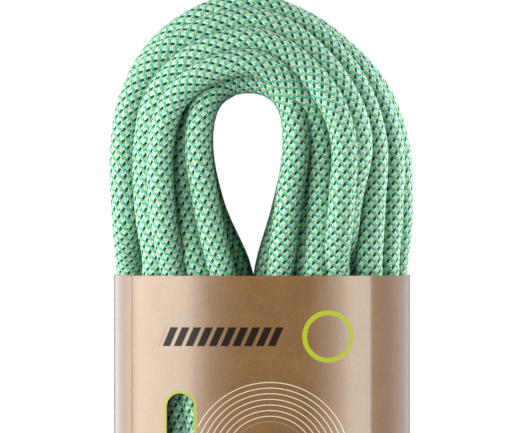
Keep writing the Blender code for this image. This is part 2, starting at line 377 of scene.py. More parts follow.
# the melted end: how far each ring stands out, and its share of the radius
END_DOME = ((0.5 * MM, 0.93), (1.1 * MM, 0.70), (1.4 * MM, 0.35))


def ring_stations(points):
    """Distances along the line at which the tube has a ring."""
    s = along(points)
    hidden = (points[:, 2] < CARD_TOP - HIDDEN_INSET) & (points[:, 2] > CARD_BOTTOM + HIDDEN_INSET)
    hidden &= owner[:, 0] >= 0
    at = [0.0]
    while at[-1] < s[-1] - BEND_STEP:
        here = np.searchsorted(s, at[-1])
        ahead = min(here + LOOK_AHEAD, len(hidden) - 1)
        at.append(at[-1] + (HIDDEN_STEP if hidden[here] and hidden[ahead] else BEND_STEP))
    return np.array(at[:-1] + [s[-1]])


def carried_frames(points):
    """Directions along and across the line, carried from ring to ring without a twist."""
    ahead = np.gradient(points, axis=0)
    ahead /= np.linalg.norm(ahead, axis=1)[:, None]
    across = np.zeros_like(ahead)
    side = np.array([1.0, 0.0, 0.0])
    for k, t in enumerate(ahead):
        side = side - t * side.dot(t)
        side /= np.linalg.norm(side)
        across[k] = side
    return ahead, across, np.cross(ahead, across)


def tube_mesh(name, points, radius, sides, dome):
    """A closed tube with rounded ends and a UV map in turns round and metres along."""
    ahead, across, up = carried_frames(points)
    s = along(points)
    rise = np.array([r for r, _ in dome])
    share = np.array([w for _, w in dome])
    before, after = points[0] - ahead[0] * rise[::-1, None], points[-1] + ahead[-1] * rise[:, None]
    centres = np.vstack([before, points, after])
    radii = radius * np.concatenate([share[::-1], np.ones(len(points)), share])
    extra = len(dome)
    rows = np.concatenate([np.zeros(extra, int), np.arange(len(points)), np.full(extra, len(points) - 1)])
    turn = np.arange(sides) * 2 * math.pi / sides
    circle = across[rows][:, None] * np.cos(turn)[:, None] + up[rows][:, None] * np.sin(turn)[:, None]
    verts = centres[:, None] + circle * radii[:, None, None]
    ring, side = np.meshgrid(np.arange(len(centres) - 1), np.arange(sides), indexing="ij")
    corner = [(ring, side), (ring, side + 1), (ring + 1, side + 1), (ring + 1, side)]
    quads = np.stack([r * sides + c % sides for r, c in corner], axis=-1).reshape(-1, 4)
    v_at = np.concatenate([s[0] - rise[::-1], s, s[-1] + rise])
    uv = np.stack([np.stack([c / sides, v_at[r]], axis=-1) for r, c in corner], axis=2).reshape(-1, 2)
    caps = [list(range(sides))[::-1], list(range((len(centres) - 1) * sides, len(centres) * sides))]
    mesh = bpy.data.meshes.new(name)
    mesh.from_pydata(verts.reshape(-1, 3).tolist(), [], quads.tolist() + caps)
    layer = mesh.uv_layers.new(name="braid")
    cap_uv = np.tile([0.5, 0.0], (2 * sides, 1))
    layer.uv.foreach_set("vector", np.vstack([uv, cap_uv]).astype(np.float32).ravel())
    mesh.shade_smooth()
    return mesh


rings = smooth_line(settled, ring_stations(settled))
rope_mesh = tube_mesh("wound_rope", rings, ROPE_R, SIDES, END_DOME)
rope = bpy.data.objects.new("wound_rope", rope_mesh)
scene.collection.objects.link(rope)
rope_mesh.calc_loop_triangles()

# %% [markdown]
# ## Materials: one helper, one conversion
#
# Colours are written as hex, the way a sheath maker's or printer's swatch gives them. Blender's shaders want
# linear light, so one function turns one into the other. A second small function adds a node, sets it up,
# feeds its inputs and gives back its output, ready to feed the next node.

# %% Colour and node helpers


def hex_colour(code):
    """Linear RGBA from an sRGB hex code such as '7fc9a6'."""
    srgb = [int(code[k : k + 2], 16) / 255 for k in (0, 2, 4)]
    return [c / 12.92 if c <= 0.04045 else ((c + 0.055) / 1.055) ** 2.4 for c in srgb] + [1.0]


def feed(node, feeds):
    """Give a node's inputs, by name or number, a value or another node's output."""
    for key, value in feeds.items():
        if isinstance(value, bpy.types.NodeSocket):
            node.id_data.links.new(value, node.inputs[key])
        else:
            node.inputs[key].default_value = value


def add(tree, kind, feeds=(), out=0, **settings):
    """Add one node with its inputs and settings, and give back one of its outputs."""
    node = tree.nodes.new("ShaderNode" + kind)
    for key, value in settings.items():
        setattr(node, key, value)
    feed(node, feeds if isinstance(feeds, dict) else dict(enumerate(feeds)))
    return node.outputs[out]


def new_material(name, values):
    """A material with one Principled shader, and the tree and shader to work on."""
    material = bpy.data.materials.new(name)
    material.use_nodes = True
    principled = material.node_tree.nodes["Principled BSDF"]
    feed(principled, values)
    return material, material.node_tree, principled


print("grey 808080 is", round(hex_colour("808080")[0], 3), "in linear light")

# %% [markdown]
# ## Braided polyamide
#
# A climbing rope's sheath is a round braid: 32 yarns wind one way, 32 the other, and each floats over two and
# dives under two. The shader works that out from the UV map. Each yarn's own number comes from rounding a
# slanted coordinate, a third sum says which yarn floats on top here, and the distance from the yarn's middle
# gives the bulge. In one hand every fourth yarn is bottle green, among mint and aqua ones. In the other every
# fourth is lemon, among mint and fern ones. Dyed polyamide has a soft, slightly silky shine.

# %% Braid material
YARNS = 32  # of each hand, round the rope
REPEAT = 4.0  # cells from one float's start to the next: over two, under two
CELL_W = math.pi * ROPE_D / YARNS
CELL_H = 1.05 * MM
TWIST = math.tan(math.radians(4))  # the braid creeps slowly round the rope
MINT, PALE_MINT, AQUA, FERN, LEMON, BOTTLE = "8ad4ae", "bfeedb", "70c0b4", "58b088", "e0e6a0", "0b3823"
RIGHT_HAND = (BOTTLE, MINT, AQUA, PALE_MINT)
LEFT_HAND = (PALE_MINT, LEMON, MINT, FERN)
# painted shade: a darker green laid into the grooves between the yarns, and how strongly it shows
PAINTED_GROOVE_SHADE, GROOVE_SHADE_SHARE = "2f7a5c", 0.75
GROOVE_TOP = 0.55  # bulges lower than this are shaded as part of the groove
FULLER = 0.15  # the bottle-green yarns are spun this much thicker
NARROW = 1.9  # above 2, the bulges of neighbours would leave a gap
PLIES, PLY_RELIEF = 3, 0.08  # twisted ends in each yarn, and how far they show
DYE_LOTS = 0.86, 1.1  # no two yarns take the dye quite alike


def dyed_yarn(tree, number, colours):
    """The dye of a yarn by its number, with the colours repeating round the rope."""
    share = add(tree, "Math", (number, REPEAT), operation="FLOORED_MODULO")
    share = add(tree, "Math", (share, REPEAT), operation="DIVIDE")
    dye = add(tree, "ValToRGB", (add(tree, "Math", (share, 0.01), operation="ADD"),))
    ramp = dye.node.color_ramp
    ramp.interpolation = "CONSTANT"
    while len(ramp.elements) < len(colours):
        ramp.elements.new(1.0)
    for k, colour in enumerate(colours):
        ramp.elements[k].position = k / len(colours)
        ramp.elements[k].color = hex_colour(colour)
    return dye


def yarn_number(tree, slanted, fuller=0.0):
    """A yarn's number at a slanted coordinate and the distance from its middle; every fourth is fuller."""
    wave = add(tree, "Math", (slanted, 2 * math.pi / REPEAT), operation="MULTIPLY")
    wave = add(tree, "Math", (wave,), operation="SINE")
    slanted = add(tree, "Math", (wave, -fuller, slanted), operation="MULTIPLY_ADD")
    number = add(tree, "Math", (slanted,), operation="ROUND")
    return number, add(tree, "Math", (slanted, number), operation="SUBTRACT")


def float_bulge(tree, off_middle, start, number, shift):
    """Height of a floating yarn: round across, lowest where it dives at either end."""
    along_float = add(tree, "Math", (start, number), operation="ADD")
    along_float = add(tree, "Math", (along_float, shift), operation="ADD")
    along_float = add(tree, "Math", (along_float, REPEAT), operation="FLOORED_MODULO")
    across = add(tree, "Math", (off_middle, NARROW), operation="MULTIPLY")
    across = add(tree, "Math", (across, 2.0), operation="POWER")
    across = add(tree, "Math", (1.0, across), operation="SUBTRACT")
    ply = add(tree, "Math", (off_middle, 2 * math.pi * PLIES, along_float), operation="MULTIPLY_ADD")
    ply = add(tree, "Math", (ply,), operation="SINE")
    across = add(tree, "Math", (ply, PLY_RELIEF, across), operation="MULTIPLY_ADD")
    across = add(tree, "Math", (across, 0.0), operation="MAXIMUM")
    lengthwise = add(tree, "Math", (along_float, math.pi / 2), operation="MULTIPLY")
    lengthwise = add(tree, "Math", (lengthwise,), operation="SINE")
    lengthwise = add(tree, "Math", (lengthwise, 0.5), operation="POWER")
    return add(tree, "Math", (across, lengthwise), operation="MULTIPLY")


def braid_material():
    material, tree, shader = new_material("braided_polyamide", {
        "Roughness": 0.6, "IOR": 1.53, "Specular IOR Level": 0.3,
        "Sheen Weight": 0.12, "Sheen Roughness": 0.4})
    turns, metres, _ = add(tree, "SeparateXYZ", (add(tree, "UVMap", uv_map="braid"),)).node.outputs
    v = add(tree, "Math", (metres, CELL_H), operation="DIVIDE")
    creep = add(tree, "Math", (v, TWIST * CELL_H / CELL_W), operation="MULTIPLY")
    u = add(tree, "Math", (turns, YARNS, creep), operation="MULTIPLY_ADD")
    rising = add(tree, "Math", (u, v), operation="ADD")
    falling = add(tree, "Math", (u, v), operation="SUBTRACT")
    left, off_left = yarn_number(tree, rising)
    right, off_right = yarn_number(tree, falling, FULLER)
    crossing = add(tree, "Math", (left, right), operation="ADD")
    crossing = add(tree, "Math", (crossing, REPEAT), operation="FLOORED_MODULO")
    right_on_top = add(tree, "Math", (crossing, 1.5), operation="LESS_THAN")
    bulge_right = float_bulge(tree, off_right, rising, right, 0.5)
    bulge_left = float_bulge(tree, off_left, falling, left, 2.5)
    height = add(tree, "Mix", {0: right_on_top, 2: bulge_left, 3: bulge_right})

    # colour: dye by the yarn's number, a lot of its own for each float, and painted shade darkening the
    # grooves between yarns
    dyes = dyed_yarn(tree, left, LEFT_HAND), dyed_yarn(tree, right, RIGHT_HAND)
    dyed = add(tree, "Mix", {0: right_on_top, 6: dyes[0], 7: dyes[1]}, 2, data_type="RGBA")
    cell = add(tree, "CombineXYZ", (left, right))
    lot = add(tree, "TexWhiteNoise", {"Vector": cell}, noise_dimensions="2D")
    shade = add(tree, "MapRange", {0: lot, 3: DYE_LOTS[0], 4: DYE_LOTS[1]})
    dyed = add(tree, "HueSaturation", {"Value": shade, "Color": dyed})
    depth = add(tree, "MapRange", {0: height, 1: 0.0, 2: GROOVE_TOP}, interpolation_type="SMOOTHSTEP")
    # painted shade in the grooves: darker green where the bulge is low
    groove_shade = add(tree, "Mix", {0: depth, 6: hex_colour(PAINTED_GROOVE_SHADE), 7: hex_colour("ffffff")}, 2, data_type="RGBA")
    shaded = add(tree, "Mix", {0: 1.0, 6: dyed, 7: groove_shade}, 2, data_type="RGBA", blend_type="MULTIPLY")
    coloured = add(tree, "Mix", {0: GROOVE_SHADE_SHARE, 6: dyed, 7: shaded}, 2, data_type="RGBA")
    bump = add(tree, "Bump", {"Strength": 0.7, "Distance": 0.25 * MM, "Height": height})
    feed(shader, {"Base Color": coloured, "Normal": bump})
    return material


braid = braid_material()
rope_mesh.materials.append(braid)
print("a braid cell is", round(CELL_W / MM, 2), "by", round(CELL_H / MM, 2), "mm")

# %% [markdown]
# ## The rope's melted ends
#
# The ends of a polyamide rope are melted so that they don't fray. They turn into a hard, smooth, darker
# green bead. The last rings of the tube and its caps get this finish.

# %% Melted polyamide
melted, _, _ = new_material("melted_polyamide", {
    "Base Color": hex_colour("2c5a48"), "Roughness": 0.28, "IOR": 1.53})
rope_mesh.materials.append(melted)
end_faces = SIDES * len(END_DOME)
body_faces = SIDES * (len(rings) - 1)
slots = np.zeros(len(rope_mesh.polygons), dtype=np.int32)
slots[:end_faces] = 1
slots[end_faces + body_faces :] = 1
rope_mesh.polygons.foreach_set("material_index", slots)
print(int(slots.sum()), "faces are melted")

# %% [markdown]
# ## The card sleeve's blank
#
# The sleeve starts as a flat printed blank, as in the box maker's shop: u runs round the sleeve from the
# middle of its front, v is the height, both in metres. It is a grid of quads with a slot left out for the
# window. Columns that cross the slot end on its round ends, so the cut edge is smooth with few faces.

# %% Blank
card_low, card_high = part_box("sleeve_card")
CARD_T = 0.6 * MM
LAP = 20 * MM
BACK_FLAT = 1.5 * MM
HALF_W = (card_high.x - card_low.x) / 2
HALF_D = -card_low.y
SLOT_X, SLOT_TOP, SLOT_BOTTOM, SLOT_R = -29.2 * MM, -106.8 * MM, -189.8 * MM, 5.0 * MM
SLOT_COLUMNS = 12
COLUMN = 2.6 * MM
SLOT_EDGE = 2.5 * MM  # a band of faces that carries the slot's round ends
ROWS_ABOVE, ROWS_BESIDE, ROWS_BELOW = 4, 7, 12
LAP_CLIMB, LAP_GAP, LAP_SHORT = 5 * MM, 0.02 * MM, 1 * MM


def card_plan(samples=2400):
    """Distance round from the front's middle, and the points of the plan, from back middle to back middle."""
    turn = np.linspace(-math.pi, math.pi, samples)
    c, s = np.cos(turn), np.sin(turn)
    x = np.sign(s) * np.abs(s) ** (2 / OVAL_POWER) * HALF_W
    y = -np.sign(c) * np.abs(c) ** (2 / OVAL_POWER) * HALF_D
    points = np.stack([x, np.minimum(y, HALF_D - BACK_FLAT)], axis=1)
    round_it = along(points)
    return round_it - round_it[-1] / 2, points


plan_s, plan_xy = card_plan()
HALF_ROUND = float(plan_s[-1])
in_front = abs(plan_s) < HALF_W
SLOT_S = float(np.interp(SLOT_X, plan_xy[in_front, 0], plan_s[in_front]))


def on_card(s, away=0.0):
    """Place on the plan at distance s round the card, away from it along its outward direction."""
    s = (s + HALF_ROUND) % (2 * HALF_ROUND) - HALF_ROUND
    here, step = [], 0.4 * MM
    for d in (-step, 0.0, step):
        at = np.clip(s + d, -HALF_ROUND, HALF_ROUND)
        here.append(np.array([np.interp(at, plan_s, plan_xy[:, 0]), np.interp(at, plan_s, plan_xy[:, 1])]))
    ahead = here[2] - here[0]
    ahead /= np.linalg.norm(ahead)
    return here[1] + away * np.array([ahead[1], -ahead[0]])


def lap_rise(s):
    """The end of the blank climbs over its start at the back."""
    t = min(1.0, max(0.0, (s - (HALF_ROUND - LAP / 2 - LAP_CLIMB - LAP_SHORT)) / LAP_CLIMB))
    return (CARD_T + LAP_GAP) * t * t * (3 - 2 * t)


def blank_columns():
    start, end = -HALF_ROUND - LAP / 2 + LAP_SHORT, HALF_ROUND + LAP / 2
    slot = [SLOT_S - SLOT_R * math.cos(math.pi * k / SLOT_COLUMNS) for k in range(SLOT_COLUMNS + 1)]
    left = np.linspace(start, slot[0], round((slot[0] - start) / COLUMN) + 1)[:-1]
    right = np.linspace(slot[-1], end, round((end - slot[-1]) / COLUMN) + 1)[1:]
    return [*left, *slot, *right], len(left)


def blank_rows():
    top, bottom = SLOT_TOP - SLOT_R, SLOT_BOTTOM + SLOT_R
    edge = SLOT_R + SLOT_EDGE
    above = np.linspace(card_high.z, top + edge, ROWS_ABOVE)
    beside = np.linspace(top, bottom, ROWS_BESIDE)
    below = np.linspace(bottom - edge, card_low.z, ROWS_BELOW)
    return [*above, *beside, *below], ROWS_ABOVE, ROWS_ABOVE + ROWS_BESIDE - 1


columns, slot_first = blank_columns()
rows, slot_top_row, slot_bottom_row = blank_rows()
bm = bmesh.new()
uv_layer = bm.loops.layers.uv.new("blank")
grid = []
for j, z in enumerate(rows):
    card_row = []
    for s in columns:
        reach = max(0.0, SLOT_R**2 - (s - SLOT_S) ** 2) ** 0.5
        lift = reach if j == slot_top_row else -reach if j == slot_bottom_row else 0.0
        x, y = on_card(s, lap_rise(s))
        card_row.append((bm.verts.new((x, y, z + lift)), (s, z + lift)))
    grid.append(card_row)
for j in range(len(rows) - 1):
    for k in range(len(columns) - 1):
        if slot_first <= k < slot_first + SLOT_COLUMNS and slot_top_row <= j < slot_bottom_row:
            continue
        corners = [grid[j][k], grid[j + 1][k], grid[j + 1][k + 1], grid[j][k + 1]]
        face = bm.faces.new([c[0] for c in corners])
        face.smooth = True
        for loop, corner in zip(face.loops, corners):
            loop[uv_layer].uv = corner[1]
for edge in bm.edges:
    edge.smooth = not edge.is_boundary  # the cut edges stay crisp
sleeve_mesh = bpy.data.meshes.new("card_sleeve")
bm.to_mesh(sleeve_mesh)
bm.free()
sleeve = bpy.data.objects.new("card_sleeve", sleeve_mesh)
scene.collection.objects.link(sleeve)
thick = sleeve.modifiers.new("card thickness", "SOLIDIFY")
thick.thickness = CARD_T
thick.offset = -1
thick.use_even_offset = True
thick.material_offset = 1
thick.material_offset_rim = 2
print(len(columns), "columns,", len(rows), "rows, the blank is", round(2 * HALF_ROUND / MM), "mm round")

# %% [markdown]
# ## Kraft card, printed and varnished
#
# Kraft board is brown unbleached fibre: a mottled tan with short darker and lighter fibres. A gloss varnish
# over the print gives the clear bright bands of the studio lights. The print is only lines and shapes: a row
# of slanted dashes like the lay of a rope, a lime ring, a lime line round the window, and nested pale loops
# like the turns of a hank.

# %% Card materials
KRAFT, KRAFT_DARK, KRAFT_PALE = "6c4a2a", "573a21", "85633f"
KRAFT_SHEEN = "ffe09e"  # the fibres shine warm through the clear varnish
BROWN, LIME, LOOP_INK, DULL_INK = "1c110b", "8f9a24", "d9cdb6", "404040"
CARD_ROUGHNESS = 0.38
INK_ROUGHER, INK_DULLER = 0.3, 0.85  # what ink adds to the roughness and takes from the varnish
INK_EDGE = 0.08 * MM
LOOP_X, LOOP_TOP, LOOP_BOTTOM = 2.8 * MM, -131.6 * MM, -285 * MM  # the upright line inside the loops
LOOP_PITCH, LOOP_LINE, LOOP_REACH = 2.0 * MM, (0.55 * MM, 0.85 * MM), (14.8 * MM, 29.2 * MM)
WINDOW_LINE, LOOPS_STOP = (5.2 * MM, 6.0 * MM), (6.4 * MM, 6.6 * MM)  # from the slot's middle
DASH_LEAN, DASH_PITCH, DASH = -0.45, 4.2 * MM, (0.5 * MM, 3.3 * MM)
DASH_HEIGHTS, DASH_RUN = (-90.0 * MM, -83.3 * MM), (3.2 * MM, 45.2 * MM)
RING_X, RING_Z, RING_LINE = 23.6 * MM, -86.6 * MM, (7.6 * MM, 9.3 * MM)


def inside_band(tree, value, low, high):
    """1 where value lies between low and high, with an edge as soft as ink on card."""
    rise = add(tree, "MapRange", {0: value, 1: low - INK_EDGE, 2: low + INK_EDGE},
               interpolation_type="SMOOTHSTEP")
    fall = add(tree, "MapRange", {0: value, 1: high - INK_EDGE, 2: high + INK_EDGE, 3: 1.0, 4: 0.0},
               interpolation_type="SMOOTHSTEP")
    return add(tree, "Math", (rise, fall), operation="MULTIPLY")


def distance(tree, across, rise):
    """How far a place is from a point, from its distances across and up."""
    squares = [add(tree, "Math", (d, d), operation="MULTIPLY") for d in (across, rise)]
    return add(tree, "Math", (add(tree, "Math", squares, operation="ADD"),), operation="SQRT")


def from_upright(tree, u, v, x, top, bottom):
    """Distance from an upright stroke that runs from top to bottom at x."""
    side = add(tree, "Math", (u, x), operation="SUBTRACT")
    past = add(tree, "Math", (v, (top + bottom) / 2), operation="SUBTRACT")
    past = add(tree, "Math", (past,), operation="ABSOLUTE")
    past = add(tree, "Math", (past, (top - bottom) / 2), operation="SUBTRACT")
    return distance(tree, side, add(tree, "Math", (past, 0.0), operation="MAXIMUM"))


def kraft_colour(tree):
    """Mottled fibre, at the size of real pulp flecks."""
    at = add(tree, "TexCoord", out="Object")
    cloudy = add(tree, "TexNoise", {"Vector": at, "Scale": 1 / (9 * MM), "Detail": 3.0})
    pulp = add(tree, "TexNoise", {"Vector": at, "Scale": 1 / (0.7 * MM), "Detail": 4.0, "Roughness": 0.7})
    long_way = add(tree, "Mapping", {0: at, 3: (1 / (0.35 * MM), 1 / (0.35 * MM), 1 / (2.5 * MM))})
    fibre = add(tree, "TexNoise", {"Vector": long_way, "Scale": 1.0, "Detail": 2.0})
    pulp_share = add(tree, "Math", (pulp, 0.65), operation="MULTIPLY")
    tone = add(tree, "Math", (cloudy, 0.35, pulp_share), operation="MULTIPLY_ADD")
    tone = add(tree, "MapRange", {0: tone, 1: 0.35, 2: 0.65})
    base = add(tree, "Mix", {0: tone, 6: hex_colour(KRAFT_DARK), 7: hex_colour(KRAFT)}, 2, data_type="RGBA")
    fleck = add(tree, "MapRange", {0: fibre, 1: 0.58, 2: 0.72, 4: 0.3})
    return add(tree, "Mix", {0: fleck, 6: base, 7: hex_colour(KRAFT_PALE)}, 2, data_type="RGBA"), pulp


def print_masks(tree, u, v):
    """Where the pale loops, the brown dashes and the lime lines are printed."""
    to_loop = from_upright(tree, u, v, LOOP_X, LOOP_TOP, LOOP_BOTTOM)
    ripple = add(tree, "Math", (to_loop, LOOP_PITCH), operation="FLOORED_MODULO")
    loops = [inside_band(tree, ripple, *LOOP_LINE), inside_band(tree, to_loop, *LOOP_REACH)]
    loops = add(tree, "Math", loops, operation="MULTIPLY")
    to_slot = from_upright(tree, u, v, SLOT_S, SLOT_TOP - SLOT_R, SLOT_BOTTOM + SLOT_R)
    clear = add(tree, "MapRange", {0: to_slot, 1: LOOPS_STOP[0], 2: LOOPS_STOP[1]})
    loops = add(tree, "Math", (loops, clear), operation="MULTIPLY")

    lean = add(tree, "Math", (v, DASH_LEAN, u), operation="MULTIPLY_ADD")
    dash = add(tree, "Math", (lean, DASH_PITCH), operation="FLOORED_MODULO")
    dashes = [inside_band(tree, v, *DASH_HEIGHTS), inside_band(tree, dash, *DASH)]
    dashes = add(tree, "Math", dashes, operation="MULTIPLY")
    dashes = add(tree, "Math", (dashes, inside_band(tree, lean, *DASH_RUN)), operation="MULTIPLY")

    across = add(tree, "Math", (u, RING_X), operation="SUBTRACT")
    rise = add(tree, "Math", (v, RING_Z), operation="SUBTRACT")
    ring = inside_band(tree, distance(tree, across, rise), *RING_LINE)
    lime = add(tree, "Math", (ring, inside_band(tree, to_slot, *WINDOW_LINE)), operation="MAXIMUM")
    return loops, dashes, lime


def printed_card():
    material, tree, shader = new_material("varnished_kraft_card", {
        "Roughness": CARD_ROUGHNESS, "IOR": 1.5, "Specular IOR Level": 0.7, "Coat Weight": 1.0,
        "Coat Roughness": 0.12, "Coat IOR": 1.8})
    u, v, _ = add(tree, "SeparateXYZ", (add(tree, "UVMap", uv_map="blank"),)).node.outputs
    colour, pulp = kraft_colour(tree)
    loops, dashes, lime = print_masks(tree, u, v)
    loops = add(tree, "Math", (loops, 0.75), operation="MULTIPLY")  # the pale ink lets some kraft through
    for where, ink in ((loops, LOOP_INK), (dashes, BROWN), (lime, LIME)):
        colour = add(tree, "Mix", {0: where, 6: colour, 7: hex_colour(ink)}, 2, data_type="RGBA")

    # the brown and lime inks lie over the varnish and take most of its shine
    ink = add(tree, "Math", (dashes, lime), operation="MAXIMUM")
    coat = add(tree, "Math", (ink, -INK_DULLER, 1.0), operation="MULTIPLY_ADD")
    rough = add(tree, "Math", (ink, INK_ROUGHER, CARD_ROUGHNESS), operation="MULTIPLY_ADD")
    sheen = add(tree, "Mix", {0: ink, 6: hex_colour(KRAFT_SHEEN), 7: hex_colour(DULL_INK)}, 2,
                data_type="RGBA")
    bump = add(tree, "Bump", {"Strength": 0.12, "Distance": 0.05 * MM, "Height": pulp})
    feed(shader, {"Base Color": colour, "Roughness": rough, "Specular Tint": sheen, "Coat Weight": coat,
                  "Normal": bump})
    return material


def raw_card(name, paleness):
    """Unprinted, unvarnished kraft, for the inner face and the cut edges."""
    material, tree, shader = new_material(name, {"Roughness": 0.85, "IOR": 1.5})
    colour, pulp = kraft_colour(tree)
    colour = add(tree, "Mix", {0: paleness, 6: colour, 7: hex_colour(KRAFT_PALE)}, 2, data_type="RGBA")
    bump = add(tree, "Bump", {"Strength": 0.4, "Distance": 0.1 * MM, "Height": pulp})
    feed(shader, {"Base Color": colour, "Normal": bump})
    return material


for card_material in (printed_card(), raw_card("raw_kraft_card", 0.2), raw_card("cut_kraft_edge", 0.6)):
    sleeve_mesh.materials.append(card_material)
print("card materials:", [m.name for m in sleeve_mesh.materials])

# %% [markdown]
# ## Ties under the card
#
# Two woven tapes hold the turns together before the card goes on. A taut tape takes the shortest way round
# the turns: it touches the outermost ones and runs straight between them. That shape is the hull of the
# turns' circles. For every direction, the tape's point lies on the turn that reaches furthest that way.

# %% Taut tape
TAPE_H, TAPE_T, TAPE_LIFT = 10 * MM, 0.4 * MM, 0.15 * MM
TAPE_POINTS = 180
TAPE_JOIN = 16 * MM  # the glued overlap, at the back
JOIN_CLIMB, JOIN_GAP = 6, 0.05 * MM  # points over which the upper end climbs, and the glue under it


def crossings(points, z):
    """Where the line crosses a level."""
    below = points[:, 2] < z
    k = np.flatnonzero(below[:-1] != below[1:])
    t = (z - points[k, 2]) / (points[k + 1, 2] - points[k, 2])
    return (points[k] + t[:, None] * (points[k + 1] - points[k]))[:, :2]


def taut_round(centres, reach):
    """The shortest closed way round circles of that radius, in even steps from the back's middle."""
    turn = np.linspace(-math.pi, math.pi, 1441)[:-1]
    ways = np.stack([-np.sin(turn), -np.cos(turn)], axis=1)
    furthest = (centres @ ways.T).argmax(axis=0)
    loop = centres[furthest] + reach * ways
    loop = np.vstack([loop, loop[:1]])
    s = along(loop)
    at = np.linspace(0, s[-1], TAPE_POINTS, endpoint=False)
    return np.stack([np.interp(at, s, loop[:, 0]), np.interp(at, s, loop[:, 1])], axis=1), s[-1]


def upright_sheet(uv_name, plan, travelled, levels, foot=0.0):
    """A sheet that stands on a line in plan; its UV map holds the distance along it and the height."""
    bm = bmesh.new()
    uv = bm.loops.layers.uv.new(uv_name)
    rings = [[bm.verts.new((x, y, z)) for z in levels] for x, y in plan]
    for k in range(len(rings) - 1):
        for n in range(len(levels) - 1):
            corners = [(k, n), (k + 1, n), (k + 1, n + 1), (k, n + 1)]
            face = bm.faces.new([rings[a][b] for a, b in corners])
            face.smooth = True
            for loop, (a, b) in zip(face.loops, corners):
                loop[uv].uv = (travelled[a], levels[b] - foot)
    return bm


def make_tape(node, name, material):
    low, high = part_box(node)
    z = (low.z + high.z) / 2
    loop, length = taut_round(crossings(settled, z), ROPE_R + TAPE_LIFT)
    pitch = length / TAPE_POINTS
    levels = [z + TAPE_H * share for share in (-1 / 2, -1 / 6, 1 / 6, 1 / 2)]
    plan = []
    for k in range(TAPE_POINTS + round(TAPE_JOIN / pitch)):
        here, ahead, behind = [Vector(loop[(k + d) % TAPE_POINTS]) for d in (0, 1, -1)]
        away = Vector(((ahead - behind).y, -(ahead - behind).x)).normalized()
        climb = min(1, max(0, (k - TAPE_POINTS + JOIN_CLIMB) / JOIN_CLIMB)) * (TAPE_T + JOIN_GAP)
        plan.append(here - away * climb if away.dot(here) < 0 else here + away * climb)
    tape_bm = upright_sheet("weave", plan, [k * pitch for k in range(len(plan))], levels)
    bmesh.ops.recalc_face_normals(tape_bm, faces=tape_bm.faces)
    if sum(f.normal.dot(f.calc_center_median() * Vector((1, 1, 0))) for f in tape_bm.faces) < 0:
        bmesh.ops.reverse_faces(tape_bm, faces=tape_bm.faces)
    mesh = bpy.data.meshes.new(name)
    tape_bm.to_mesh(mesh)
    tape_bm.free()
    tape = bpy.data.objects.new(name, mesh)
    scene.collection.objects.link(tape)
    skin = tape.modifiers.new("tape thickness", "SOLIDIFY")
    skin.thickness, skin.offset = TAPE_T, 1
    mesh.materials.append(material)
    print(name, "is", round(length / MM), "mm round")
    return tape


# %% [markdown]
# Polyester tape is a flat plain weave: fine ribs run along it, and the weft shows as small steps between
# them. Its threads are 0.5 mm apart.

# %% Woven tape
THREAD = 0.5 * MM


def woven_tape():
    material, tree, shader = new_material("woven_polyester_tape", {
        "Roughness": 0.7, "IOR": 1.54, "Sheen Weight": 0.2})
    along_it, across_it, _ = add(tree, "SeparateXYZ", (add(tree, "UVMap", uv_map="weave"),)).node.outputs
    threads = [add(tree, "Math", (way, 2 * math.pi / THREAD), operation="MULTIPLY")
               for way in (across_it, along_it)]
    warp, weft = [add(tree, "Math", (thread,), operation="SINE") for thread in threads]
    crossed = add(tree, "Math", (warp, weft), operation="MULTIPLY")
    ribs = add(tree, "Math", (warp, 0.4), operation="MULTIPLY")
    height = add(tree, "Math", (crossed, 0.6, ribs), operation="MULTIPLY_ADD")
    # painted shade: the colour goes darker where the weave lies lower, in the hollows between threads
    tone = add(tree, "MapRange", {0: height, 1: -1.0, 2: 1.0})
    colour = add(tree, "Mix", {0: tone, 6: hex_colour("101312"), 7: hex_colour("2e3533")}, 2,
                 data_type="RGBA")
    bump = add(tree, "Bump", {"Strength": 0.6, "Distance": 0.12 * MM, "Height": height})
    feed(shader, {"Base Color": colour, "Normal": bump})
    return material


tape_material = woven_tape()
ties = {node: make_tape(node, name, tape_material)
        for node, name in (("upper_tie", "upper_tape"), ("lower_tie", "lower_tape"))}

# %% [markdown]
# ## End marks
#
# Each free end wears a short heat-shrink tube. Shrinking pulls it tight, so its edges thin out and its middle
# bulges a little over the braid. It is a profile that Screw turns round the rope. Screw turns round the
# object's origin, so the band is made there, and then its place is put into the mesh.

# %% Heat-shrink bands
BAND_SIDES = 32


def shrink_tube_material():
    """Cross-linked polyolefin: matte black with the braid showing through as a faint ripple."""
    material, tree, shader = new_material("polyolefin_shrink_tube", {"Roughness": 0.42, "IOR": 1.5})
    at = add(tree, "TexCoord", out="Object")
    ripple = add(tree, "TexVoronoi", {"Vector": at, "Scale": 1 / (1.4 * MM)})
    wear = add(tree, "TexNoise", {"Vector": at, "Scale": 1 / (3 * MM), "Detail": 5.0})
    tone = add(tree, "MapRange", {0: wear, 1: 0.45, 2: 0.7})
    colour = add(tree, "Mix", {0: tone, 6: hex_colour("17191a"), 7: hex_colour("2b2e30")}, 2,
                 data_type="RGBA")
    rough = add(tree, "MapRange", {0: wear, 3: 0.34, 4: 0.55})
    bump = add(tree, "Bump", {"Strength": 0.35, "Distance": 0.2 * MM, "Height": ripple})
    feed(shader, {"Base Color": colour, "Roughness": rough, "Normal": bump})
    return material


